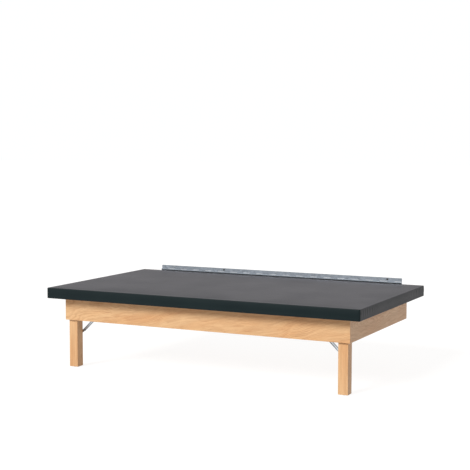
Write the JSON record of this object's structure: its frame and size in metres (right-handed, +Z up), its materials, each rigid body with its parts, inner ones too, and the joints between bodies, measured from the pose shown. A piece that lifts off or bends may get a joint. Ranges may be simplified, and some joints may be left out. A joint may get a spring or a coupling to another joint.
{
  "type": "wall-mounted folding mat platform",
  "caption": "Upholstered mat platform hinged to a wall rail, with a hardwood frame and square front legs that fold inward on jointed stays.",
  "frame": {"origin": "on the floor, midway along the platform and midway between the mat front and the wall plane", "axes": "+X along the platform to the right seen from the front, +Y towards the wall, +Z up"},
  "size_m": [2.1336, 1.2216, 0.5605],
  "materials": {
    "hardwood": "satin clear lacquer",
    "plywood": "sanded",
    "vinyl": "satin grained vinyl",
    "foam": "open cell foam",
    "zinc_steel": "bright zinc plate",
    "stay_steel": "zinc plate",
    "bracket_steel": "zinc plate",
    "fasteners": "bright zinc plate",
    "glide_plastic": "moulded"
  },
  "bodies": {
    "wall_rail": {"wall_hinge_leaf": "zinc_steel", "wall_hinge_pin": "zinc_steel"},
    "platform": {"cleat_screws": "fasteners", "corner_dowels": "hardwood", "cover_staples": "fasteners", "deck_cleats": "hardwood", "foam_pad": "foam", "front_apron": "hardwood", "hinge_batten": "hardwood", "hinge_leaf_screws": "fasteners", "joist_bracket_screws": "fasteners", "joist_brackets": "bracket_steel", "left_apron": "hardwood", "left_cross_joist": "hardwood", "left_leg_hinge_deck_leaf": "bracket_steel", "left_leg_hinge_pin": "fasteners", "left_stay_deck_bracket": "stay_steel", "left_stay_deck_rivet": "fasteners", "leg_hinge_deck_screws": "fasteners", "platform_hinge_leaf": "zinc_steel", "plywood_deck": "plywood", "rear_apron": "hardwood", "rear_corner_blocks": "hardwood", "right_apron": "hardwood", "right_cross_joist": "hardwood", "right_leg_hinge_deck_leaf": "bracket_steel", "right_leg_hinge_pin": "fasteners", "right_stay_deck_bracket": "stay_steel", "right_stay_deck_rivet": "fasteners", "stay_bracket_screws": "fasteners", "vinyl_cover": "vinyl"},
    "left_leg": {"left_leg": "hardwood", "left_leg_glide": "glide_plastic", "left_leg_hinge_leg_leaf": "bracket_steel", "left_leg_hinge_leg_screws": "fasteners", "left_stay_leg_pivot": "fasteners"},
    "left_stay_lower": {"left_stay_lower_link": "stay_steel", "left_stay_knuckle_stud": "fasteners"},
    "left_stay_upper": {"left_stay_upper_link": "stay_steel"},
    "right_leg": {"right_leg": "hardwood", "right_leg_glide": "glide_plastic", "right_leg_hinge_leg_leaf": "bracket_steel", "right_leg_hinge_leg_screws": "fasteners", "right_stay_leg_pivot": "fasteners"},
    "right_stay_lower": {"right_stay_lower_link": "stay_steel", "right_stay_knuckle_stud": "fasteners"},
    "right_stay_upper": {"right_stay_upper_link": "stay_steel"}
  },
  "joints": [
    {"name": "platform_fold", "type": "hinge", "parent": "wall_rail", "child": "platform", "pos_m": [0, 0.6045, 0.53], "axis": [-1, 0, 0], "range_deg": [0, 90]},
    {"name": "left_leg_fold", "type": "hinge", "parent": "platform", "child": "left_leg", "pos_m": [-0.8959, -0.48335, 0.45], "axis": [0, -1, 0], "range_deg": [0, 90]},
    {"name": "left_stay_lower_swing", "type": "hinge", "parent": "left_leg", "child": "left_stay_lower", "pos_m": [-0.9397, -0.44985, 0.2019], "axis": [0, -1, 0], "range_deg": [-183, 0]},
    {"name": "left_stay_upper_swing", "type": "hinge", "parent": "platform", "child": "left_stay_upper", "pos_m": [-0.7381, -0.44635, 0.3842], "axis": [0, -1, 0], "range_deg": [0, 122.8]},
    {"name": "right_leg_fold", "type": "hinge", "parent": "platform", "child": "right_leg", "pos_m": [0.8959, -0.48335, 0.45], "axis": [0, 1, 0], "range_deg": [0, 90]},
    {"name": "right_stay_lower_swing", "type": "hinge", "parent": "right_leg", "child": "right_stay_lower", "pos_m": [0.9397, -0.44985, 0.2019], "axis": [0, 1, 0], "range_deg": [-183, 0]},
    {"name": "right_stay_upper_swing", "type": "hinge", "parent": "platform", "child": "right_stay_upper", "pos_m": [0.7381, -0.44635, 0.3842], "axis": [0, 1, 0], "range_deg": [0, 122.8]}
  ],
  "couplings": [
    {"joint": "left_stay_lower_swing", "follows": "left_leg_fold", "ratio": -2.033},
    {"joint": "left_stay_upper_swing", "follows": "left_leg_fold", "ratio": 1.364},
    {"joint": "right_stay_lower_swing", "follows": "right_leg_fold", "ratio": -2.033},
    {"joint": "right_stay_upper_swing", "follows": "right_leg_fold", "ratio": 1.364}
  ]
}
